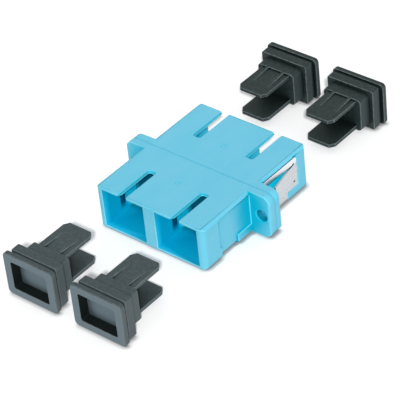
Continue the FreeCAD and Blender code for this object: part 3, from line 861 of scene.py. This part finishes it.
def white_floor_material(wanted):
    """White floor with a short contact shadow, which glows evenly on the pieces above it."""
    material = bpy.data.materials.new("white floor")
    material.use_nodes = True
    wiring = Wiring(material.node_tree)
    wiring.tree.nodes.clear()
    look = wiring.new("ShaderNodeCombineXYZ", dict(zip("XYZ", SHADOW_LOOK)))
    openness = wiring.new("ShaderNodeAmbientOcclusion", {"Distance": wanted.shadow_reach},
                          samples=SHADOW_SAMPLES)
    wiring.join(look.outputs[0], openness.inputs["Normal"])
    level = wiring.spread(openness.outputs["AO"], SHADOW_DEEPEST, SHADOW_END)
    dark = wiring.new("ShaderNodeBsdfDiffuse", {"Color": (*wanted.shadow_colour, 1.0)})
    paper = wiring.new("ShaderNodeBsdfDiffuse", {"Color": (*wanted.floor_colour, 1.0)})
    shine = wiring.new("ShaderNodeEmission", {"Strength": wanted.floor_shine})
    bright = wiring.fed("ShaderNodeAddShader", {0: shine.outputs[0], 1: paper.outputs[0]})
    seen = wiring.mixed_shaders(level, dark, bright)
    glow = wiring.new("ShaderNodeEmission", {"Strength": wanted.floor_glow})
    both = wiring.mixed_shaders(wiring.sees_background(), glow, seen)
    wiring.fed("ShaderNodeOutputMaterial", {"Surface": both.outputs[0]})
    return material


def add_floor(wanted):
    """Square floor under the part."""
    half = wanted.floor_span / 2.0
    height = CAD_LOW.z
    mesh = bpy.data.meshes.new("floor")
    corners = [(-half, -half, height), (half, -half, height),
               (half, half, height), (-half, half, height)]
    mesh.from_pydata(corners, [], [(0, 1, 2, 3)])
    mesh.materials.append(white_floor_material(wanted))
    linked_object("floor", mesh)


def direction(azimuth, elevation):
    """Direction turned from the front by the azimuth and raised by the elevation."""
    return Vector((math.sin(azimuth) * math.cos(elevation),
                   -math.cos(azimuth) * math.cos(elevation), math.sin(elevation)))


def add_lamp(wanted):
    """Distant lamp behind the camera, so that the shadows keep close to the pieces."""
    light = bpy.data.lights.new("lamp", "SUN")
    light.angle = wanted.lamp_spread
    light.energy = wanted.lamp_power
    lamp = linked_object("lamp", light)
    toward = direction(wanted.lamp_azimuth, wanted.lamp_elevation)
    lamp.rotation_euler = toward.to_track_quat("Z", "Y").to_euler()
    # Seen from the rear, its reflection would wash out the roof
    lamp.visible_glossy = False


def add_camera(wanted):
    """Camera turned round the aim point by its azimuth, elevation and roll."""
    across = Vector((math.cos(wanted.azimuth), math.sin(wanted.azimuth), 0.0))
    back = direction(wanted.azimuth, wanted.elevation)
    upward = back.cross(across)
    right = across * math.cos(wanted.roll) + upward * math.sin(wanted.roll)
    up = back.cross(right)
    data = bpy.data.cameras.new("camera")
    data.lens = wanted.lens
    data.clip_start = CAMERA_NEAR
    camera = linked_object("camera", data)
    camera.rotation_mode = "QUATERNION"
    camera.rotation_quaternion = Matrix((right, up, back)).transposed().to_quaternion()
    camera.location = Vector(wanted.aim) + back * wanted.distance
    bpy.context.scene.camera = camera


# --- Operators ---------------------------------------------------------------------------
class HousingOperator(bpy.types.Operator):
    """Finish the front and rear mouldings of the housing"""
    bl_idname = "fibre_adapter.housing"
    bl_label = "Housing mouldings"

    def execute(self, context):
        wanted = settings().housing
        material = aqua_plastic()
        ports = [middle(side + "_split_sleeve") for side in SIDES]
        holes = [Vector((turn * wanted.hole_place, 0.0, ports[0].z)) for turn in (-1.0, 1.0)]
        for node in ("front_housing", "rear_housing"):
            mesh = rounded_mesh(node, wanted.edge_radius)
            mark_walls(mesh, PORT_WALL, ports, wanted.port_reach)
            mark_slots(mesh, ports, wanted.slot_height, wanted.slot_reach)
            mark_walls(mesh, HOLE_WALL, holes, wanted.hole_reach)
            darken_rims(mesh, holes, wanted.hole_reach)
            mark_weld(mesh, wanted.weld_reach)
            mark_seat(mesh, wanted.seat_place, wanted.seat_reach)
            add_finished_piece(mesh, node, ADAPTER_BODY, material)
        return {"FINISHED"}


class HoldersOperator(bpy.types.Operator):
    """Finish the four sleeve holders, one at each port"""
    bl_idname = "fibre_adapter.holders"
    bl_label = "Sleeve holders"

    def execute(self, context):
        material = holder_plastic()
        source = "front_left_holder"
        mesh = rounded_mesh(source, settings().holder.edge_radius)
        targets = end_and_side_targets("holder")
        for node, copy in copies_at_ports(mesh, source, targets, material).items():
            add_finished_piece(copy, node, ADAPTER_BODY, material)
        return {"FINISHED"}


class SleevesOperator(bpy.types.Operator):
    """Finish the two split sleeves"""
    bl_idname = "fibre_adapter.sleeves"
    bl_label = "Split sleeves"

    def execute(self, context):
        material = zirconia()
        source = "left_split_sleeve"
        mesh = rounded_mesh(source, settings().sleeve.edge_radius)
        targets = [(f"{side}_split_sleeve", False) for side in SIDES]
        for node, copy in copies_at_ports(mesh, source, targets, material).items():
            add_finished_piece(copy, node, ADAPTER_BODY, material)
        return {"FINISHED"}


class ClipOperator(bpy.types.Operator):
    """Finish the sprung panel clip"""
    bl_idname = "fibre_adapter.clip"
    bl_label = "Panel clip"

    def execute(self, context):
        mesh = rounded_mesh("mounting_clip", settings().clip.edge_radius)
        add_finished_piece(mesh, "mounting_clip", ADAPTER_BODY, spring_steel())
        return {"FINISHED"}


class CapsOperator(bpy.types.Operator):
    """Finish the four dust caps, each on its own body"""
    bl_idname = "fibre_adapter.caps"
    bl_label = "Dust caps"

    def execute(self, context):
        wanted = settings().cap
        material = cap_plastic()
        source = "front_left_cap"
        mesh = rounded_mesh(source, wanted.edge_radius)
        low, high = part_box(source)
        outer = -low.y
        mark_walls(mesh, POCKET_WALL, [middle(source)], wanted.pocket_reach,
                   nearest=outer - wanted.pocket_depth, farthest=outer)
        targets = end_and_side_targets("cap")
        for node, copy in copies_at_ports(mesh, source, targets, material).items():
            add_finished_piece(copy, node, node, material)
        return {"FINISHED"}


class StageOperator(bpy.types.Operator):
    """Set the floor, light and camera"""
    bl_idname = "fibre_adapter.stage"
    bl_label = "Stage"

    def execute(self, context):
        wanted = settings().stage
        context.scene.view_settings.view_transform = "Standard"
        white_surroundings(wanted.ambient)
        add_floor(wanted)
        add_lamp(wanted)
        add_camera(wanted)
        return {"FINISHED"}


class AdapterPanel(bpy.types.Panel):
    """Lists the steps that make the fibre adapter"""
    bl_idname = "VIEW3D_PT_fibre_adapter"
    bl_label = "Fibre adapter"
    bl_space_type = "VIEW_3D"
    bl_region_type = "UI"
    bl_category = "Fibre adapter"

    def draw(self, context):
        for operator in OPERATORS:
            self.layout.operator(operator.bl_idname)


GROUPS = (HousingFinish, HolderFinish, SleeveFinish, ClipFinish, CapFinish, StageSetting,
          AdapterSettings)
OPERATORS = (HousingOperator, HoldersOperator, SleevesOperator, ClipOperator, CapsOperator,
             StageOperator)
CLASSES = GROUPS + OPERATORS + (AdapterPanel,)


def register():
    for kind in CLASSES:
        bpy.utils.register_class(kind)
    bpy.types.Scene.fibre_adapter = PointerProperty(type=AdapterSettings, name="Fibre adapter",
                                                    description="Settings of the fibre adapter")


def unregister():
    del bpy.types.Scene.fibre_adapter
    for kind in reversed(CLASSES):
        bpy.utils.unregister_class(kind)


def main():
    register()
    bpy.ops.fibre_adapter.housing()
    bpy.ops.fibre_adapter.holders()
    bpy.ops.fibre_adapter.sleeves()
    bpy.ops.fibre_adapter.clip()
    bpy.ops.fibre_adapter.caps()
    bpy.ops.fibre_adapter.stage()


if __name__ == "__main__":
    main()
